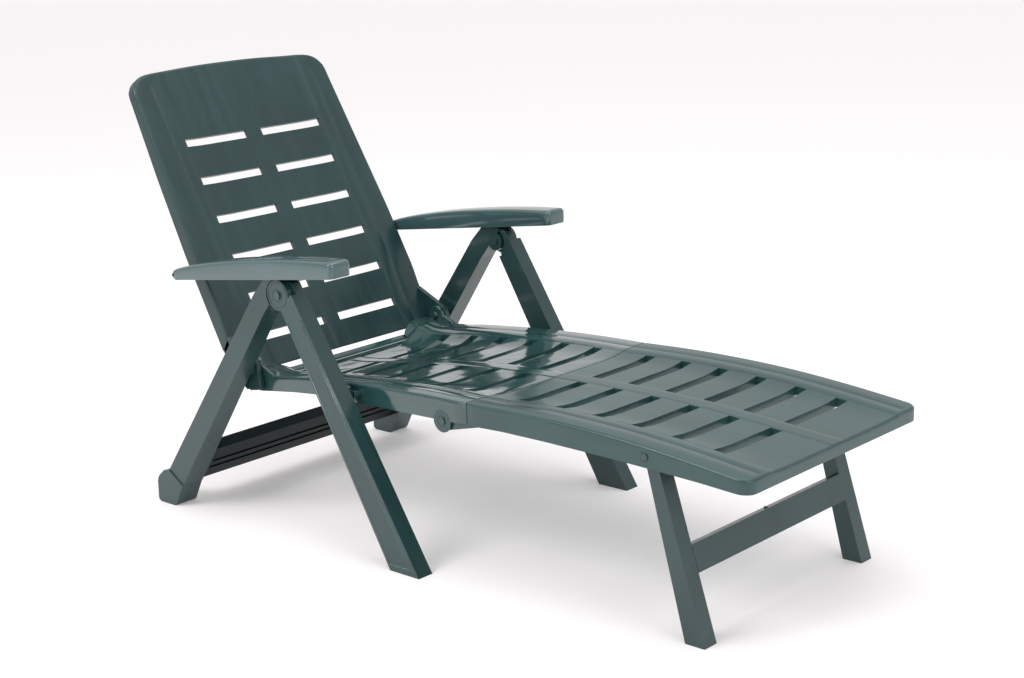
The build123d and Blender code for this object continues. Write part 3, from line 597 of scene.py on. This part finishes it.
# ---------------------------------------------------------------- ears, brackets and lugs of the panels
PEG_Z, PEG_R, PEG_GAP = 331, 8, 0.4
PAD = PEG_Z + PEG_R + PEG_GAP     # lower face of the seat's brackets, just clear of the front legs' pegs
BRACKET = [(-338, PAD), (-317.5, PAD), (-317.5, 328), (-311, 328), (-305, PAD + 2), (-305, PAD + 10),
           (-338, PAD + 10)]
BACK_EAR = hull([back_point(462, 0), *circle(*PIVOT, 24), (PIVOT[0] + 33, 303), (PIVOT[0] - 19, 296),
                 back_point(545, -24), back_point(480, -32)])
EAR_ROOT = [back_point(s, h) for s, h in ((436, -2), (436, -32), (486, -34), (500, -28), (500, -2))]
SEAT_EAR = hull(circle(*PIVOT, 22) + [(PIVOT[0] - 16, 333), (PIVOT[0], 322)])
CHEEK = [(PIVOT[0] - 16, 333), (PIVOT[0], 322), (-600, 303), (-585, 303), (-585, 336), (PIVOT[0] + 20, 354)]
TONGUE = hull(circle(*KNUCKLE, 21) + [(6, 330), (60, 333), (60, 366), (2, 366)])
LUG = hull(circle(*FOOT, 11) + [(FOOT[0] - 11, 362), (FOOT[0] + 11, 362)])

for side, sign in SIDES:
    plate("back_ear_" + side, "backrest", BACK_EAR, span(sign, 291.5, 303), 1.8, back_mat)
    plate("back_ear_root_" + side, "backrest", EAR_ROOT, span(sign, 297, 302.8), 1.0, back_mat)
    plate("arm_boss_" + side, "backrest", circle(*ARM, 11), span(sign, 283, 303), 1.0, back_mat)
    plate("seat_ear_" + side, "seat", SEAT_EAR, span(sign, 280, 289.8), 1.8, seat_mat)
    plate("seat_cheek_" + side, "seat", CHEEK, span(sign, 281, 289.6), 1.5, seat_mat)
    plate("seat_knuckle_" + side, "seat", circle(*KNUCKLE, 24), span(sign, 286.5, 290.4), 1.2, panel_mat)
    plate("seat_bracket_" + side, "seat", BRACKET, span(sign, 288, 305.4), 1.0, seat_mat)
    plate("legrest_tongue_" + side, "legrest", TONGUE, span(sign, 277.5, 284.5), 1.0, panel_mat)
    plate("legrest_lug_" + side, "legrest", LUG, span(sign, 241.2, 247.2), 1.0, panel_mat)

# ---------------------------------------------------------------- arms
ARM_LOW, ARM_HIGH = 307.0, 365.0  # an arm's range of y
ARM_ROUND = 8.0                   # radius along its upper edges
ARM_TAIL = 14                     # radius of its rear end
NOSE_X, NOSE_LONG = -300, 11.5    # where its nose starts, and how long that is
NOSE_IN, NOSE_DROP = 12, 10       # how far the nose draws in on each side, and on top
TUCK = 0.6                        # how far its lower edges turn in
arm_top = through([(-817, 560), (-800, 566.5), (-736, 582), (-620, 603), (-489, 620), (-378, 630), (-288, 635)])


def arm_bottom(x):
    return 540 + 0.12 * (x - ARM[0])


def arm_section(squeeze, top, low):
    """An arm's outer section as (y, z), open below, from its inner edge over to the outer one."""
    y0, y1 = ARM_LOW + squeeze, ARM_HIGH - squeeze
    r, steps = ARM_ROUND, 6
    angles = [math.pi / 2 * k / steps for k in range(steps + 1)]
    points = [(y0 + TUCK, low), (y0, low + 2), (y0, top - r)]
    points += [(y0 + r - r * math.cos(a), top - r + r * math.sin(a)) for a in angles[1:]]
    points += [(y0 + (y1 - y0) * f, top + 0.8 * math.sin(math.pi * f)) for f in (0.3, 0.5, 0.7)]
    points += [(y1 - r + r * math.sin(a), top - r + r * math.cos(a)) for a in angles]
    points += [(y1, low + 2), (y1 - TUCK, low)]
    return points


def arm_shell(side, sign):
    sections = []
    # the rounded rear end; its first section is a little way in, so that it has an area
    for k in range(8):
        a = math.pi / 2 * (k + 0.6) / 8.6
        x, spread = ARM[0] - ARM_TAIL * math.cos(a), ARM_TAIL * math.sin(a)
        sections.append((x, 0.0, min(ARM[1] + spread, arm_top(x)), ARM[1] - spread))
    first, count = ARM[0] + 4, 24
    for k in range(count + 1):
        x = first + (NOSE_X - first) * k / count
        sections.append((x, 0.0, arm_top(x), arm_bottom(x)))
    # the nose's corners round off in plan and over the top
    count = 9
    for k in range(1, count + 1):
        a = math.pi / 2 * k / count
        x = NOSE_X + NOSE_LONG * math.sin(a)
        sections.append((x, NOSE_IN * (1 - math.cos(a)), arm_top(x) - NOSE_DROP * (1 - math.cos(a)),
                         arm_bottom(x)))
    verts = [place(x, sign * y, z) for x, squeeze, top, low in sections for y, z in arm_section(squeeze, top, low)]
    size = len(verts) // len(sections)
    faces = [(i * size + j, (i + 1) * size + j, (i + 1) * size + j + 1, i * size + j + 1)
             for i in range(len(sections) - 1) for j in range(size - 1)]
    faces += [tuple(range(len(verts) - size, len(verts)))[::-1], tuple(range(size))]
    if sign < 0:
        faces = [face[::-1] for face in faces]
    obj = mesh_object("arm_shell_" + side, verts, faces)
    moulded(obj)
    dress(obj, "arm_" + side, painted_sheen_mat)
    return obj


# The toothed rack under an arm: notches NOTCH_PITCH apart along the line from the arm's pivot to the catch.
NOTCHES, NOTCH_PITCH = 5, 36
NOTCH_DEEP, NOTCH_R, NOTCH_HALF = 6, 8.6, 8.4
RACK_FRONT, RACK_REAR = 24, 20    # height of the rack's ends over its line
RACK_RUN = math.hypot(CATCH[0] - ARM[0], CATCH[1] - ARM[1])
RACK_TURN = math.atan2(CATCH[1] - ARM[1], CATCH[0] - ARM[0])


def rack_point(d, e):
    """A distance along the rack's line and one above it, as layout (x, z)."""
    return (ARM[0] + d * math.cos(RACK_TURN) - e * math.sin(RACK_TURN),
            ARM[1] + d * math.sin(RACK_TURN) + e * math.cos(RACK_TURN))


def rack_outline():
    points = []
    for i in range(NOTCHES):
        mid = RACK_RUN + NOTCH_PITCH * i
        points += [rack_point(mid - NOTCH_PITCH / 2, NOTCH_R), rack_point(mid - NOTCH_HALF, NOTCH_R)]
        for degrees in (30, 60, 90, 120, 150):
            a = math.radians(degrees)
            points.append(rack_point(mid - NOTCH_R * math.cos(a), NOTCH_DEEP + NOTCH_R * math.sin(a)))
        points.append(rack_point(mid + NOTCH_HALF, NOTCH_R))
    start, end = RACK_RUN - NOTCH_PITCH / 2, RACK_RUN + NOTCH_PITCH * (NOTCHES - 0.5)
    return points + [rack_point(end, NOTCH_R), rack_point(end, RACK_FRONT), rack_point(start, RACK_REAR)]


for side, sign in SIDES:
    shell = arm_shell(side, sign)
    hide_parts("arm_" + side)
    # grip ridges round the outer front corner
    for k in range(3):
        x = NOSE_X + 4 - 9 * k
        ridge = [(x - 2.2, arm_bottom(x) + 4), (x + 2.2, arm_bottom(x) + 4), (x + 2.2, arm_top(x) - 7),
                 (x - 2.2, arm_top(x) - 7)]
        plate(f"grip_ridge_{k}_{side}", "arm_" + side, ridge, span(sign, 363.0, 364.9), 0.9, painted_sheen_mat)
    plate("arm_rack_" + side, "arm_" + side, rack_outline(), span(sign, 326.5, 340.5), 0.0, painted_sheen_mat)
    plate("arm_hub_" + side, "arm_" + side, circle(*ARM, 11), span(sign, 309, 352), 0.0, painted_sheen_mat)

# ---------------------------------------------------------------- small relief on legs and pins
LEG_FACE = 357.0                  # y of the front legs' outer faces
LINE_BASE = LEG_FACE - 0.1        # the raised lines start just inside them
LEG_RUN = 500                     # height over which a front leg's edges are straight
# the lines along a front leg's edges: x of the edge at the floor and at LEG_RUN, the step in from it, the upper end
LEG_LINES = (("front", -88.0, -394.5, -5.5, 500), ("inner", -88.0, -394.5, -11.5, 500),
             ("rear", -172.0, -455.0, 5.5, 490))
SHOULDER = [(-394.8, 500), (-438.9, 572), (-456, 576), (-458, 568), (-448, 558), (-444, 545), (-448, 531),
            (-457, 522), (-452, 505)]

for side, sign in SIDES:
    leg = "front_leg_" + side
    ring("eye_ring_" + side, leg, *APEX, sign * LEG_FACE, 28.0, 1.0, frame_mat)
    ring("eye_inner_ring_" + side, leg, *APEX, sign * LEG_FACE, 14.0, 0.8, frame_mat)
    ring("foot_pivot_ring_" + side, "legrest", *FOOT, sign * 290.0, 9.0, 0.7, panel_mat)
    ring("knuckle_ring_" + side, "seat", *KNUCKLE, sign * 290.4, 11.0, 0.8, panel_mat)
    # the inner half of the leg runs on up round the boss of the rear leg
    plate("front_leg_shoulder_" + side, leg, SHOULDER, span(sign, 318.6, 341.0), 1.5, frame_mat)
    # painted highlight: the raised lines and the sole line take the lighter arm material, standing in for the
    # highlights along the leg's edges
    for edge, low, high, inset, top in LEG_LINES:
        ends = [(low + (high - low) * z / LEG_RUN + inset, z) for z in (15, top)]
        bead(f"{edge}_line_{side}", leg, *ends, sign * LINE_BASE, sign, 1.7, 1.3, painted_sheen_mat)
    bead("sole_line_" + side, leg, (-172, 13.5), (-103, 13.5), sign * LINE_BASE, sign, 1.2, 0.9, painted_sheen_mat)


# ---------------------------------------------------------------- floor
def stage_material():
    mat = bpy.data.materials.new("backdrop")
    mat.use_nodes = True
    nodes, links = mat.node_tree.nodes, mat.node_tree.links
    shader = nodes["Principled BSDF"]
    tex = nodes.new("ShaderNodeTexNoise")
    tex.inputs["Scale"].default_value = 0.6
    mix = nodes.new("ShaderNodeMix")
    mix.data_type = "RGBA"
    mix.inputs["A"].default_value = (0.82, 0.795, 0.80, 1)
    mix.inputs["B"].default_value = (0.86, 0.835, 0.84, 1)
    links.new(tex.outputs["Fac"], mix.inputs["Factor"])
    links.new(mix.outputs["Result"], shader.inputs["Base Color"])
    shader.inputs["Roughness"].default_value = 0.7
    shader.inputs["Specular IOR Level"].default_value = 0.2
    # painted light: the floor glows, brightening away from the object as a sweep of lit paper does; near the object
    # the glow lightens the shadows
    coords = nodes.new("ShaderNodeTexCoord")
    length = nodes.new("ShaderNodeVectorMath")
    length.operation = "LENGTH"
    painted_glow = nodes.new("ShaderNodeMapRange")
    painted_glow.interpolation_type = "SMOOTHSTEP"
    for socket, value in (("From Min", 1.3), ("From Max", 7.0), ("To Min", 0.2), ("To Max", 0.30)):
        painted_glow.inputs[socket].default_value = value
    links.new(coords.outputs["Object"], length.inputs[0])
    links.new(length.outputs["Value"], painted_glow.inputs["Value"])
    links.new(painted_glow.outputs["Result"], shader.inputs["Emission Strength"])
    shader.inputs["Emission Color"].default_value = (1.0, 0.975, 0.97, 1)
    return mat


def floor():
    """A wide round floor; it fills the picture right up to the horizon, on every side."""
    radius, count = 70, 96
    angles = [2 * math.pi * k / count for k in range(count)]
    verts = [(radius * math.cos(a), radius * math.sin(a), 0.0) for a in angles]
    obj = mesh_object("floor", verts, [tuple(range(count))], False)
    obj.data.materials.append(stage_material())


floor()


# ---------------------------------------------------------------- light
def area(name, position, target, size, power, colour):
    data = bpy.data.lights.new(name, "AREA")
    data.shape = "RECTANGLE"
    data.size, data.size_y = size
    data.energy = power
    data.color = colour
    obj = bpy.data.objects.new(name, data)
    bpy.context.scene.collection.objects.link(obj)
    obj.location = position
    obj.rotation_euler = (Vector(target) - Vector(position)).to_track_quat("-Z", "Y").to_euler()


area("key", (-1.2, -3.4, 3.6), (0, 0, 0.3), (2.6, 2.0), 105, (1.0, 0.99, 0.98))
area("top", (0.4, 0.4, 4.2), (0, 0, 0.2), (4.0, 3.0), 70, (0.98, 0.99, 1.0))
area("fill", (4.2, -0.6, 2.2), (0.2, 0, 0.4), (2.4, 2.4), 35, (0.97, 0.98, 1.0))

world = bpy.data.worlds.new("studio")
bpy.context.scene.world = world
world.use_nodes = True
background = world.node_tree.nodes["Background"]
background.inputs["Color"].default_value = (0.95, 0.94, 0.95, 1)
background.inputs["Strength"].default_value = 0.8
bpy.context.scene.view_settings.view_transform = "Standard"

# ---------------------------------------------------------------- camera
# The place, angles in radians and lens were solved from the panels' width and the outline.
EYE = (2.43085 + SHIFT, -2.764882, 1.382374)
YAW, PITCH_DOWN, ROLL = 0.747972, 0.249273, -0.039858
LENS, SENSOR = 64.11, 36
forward = Vector((-math.sin(YAW) * math.cos(PITCH_DOWN), math.cos(YAW) * math.cos(PITCH_DOWN),
                  -math.sin(PITCH_DOWN)))
level_right = Vector((math.cos(YAW), math.sin(YAW), 0))
level_up = level_right.cross(forward)
cam_right = math.cos(ROLL) * level_right + math.sin(ROLL) * level_up
cam_up = -math.sin(ROLL) * level_right + math.cos(ROLL) * level_up
camera_data = bpy.data.cameras.new("camera")
camera_data.lens = LENS
camera_data.sensor_width = SENSOR
camera = bpy.data.objects.new("camera", camera_data)
bpy.context.scene.collection.objects.link(camera)
camera.matrix_world = Matrix((
    (cam_right.x, cam_up.x, -forward.x, EYE[0]),
    (cam_right.y, cam_up.y, -forward.y, EYE[1]),
    (cam_right.z, cam_up.z, -forward.z, EYE[2]),
    (0, 0, 0, 1)))
bpy.context.scene.camera = camera

bpy.context.view_layer.update()
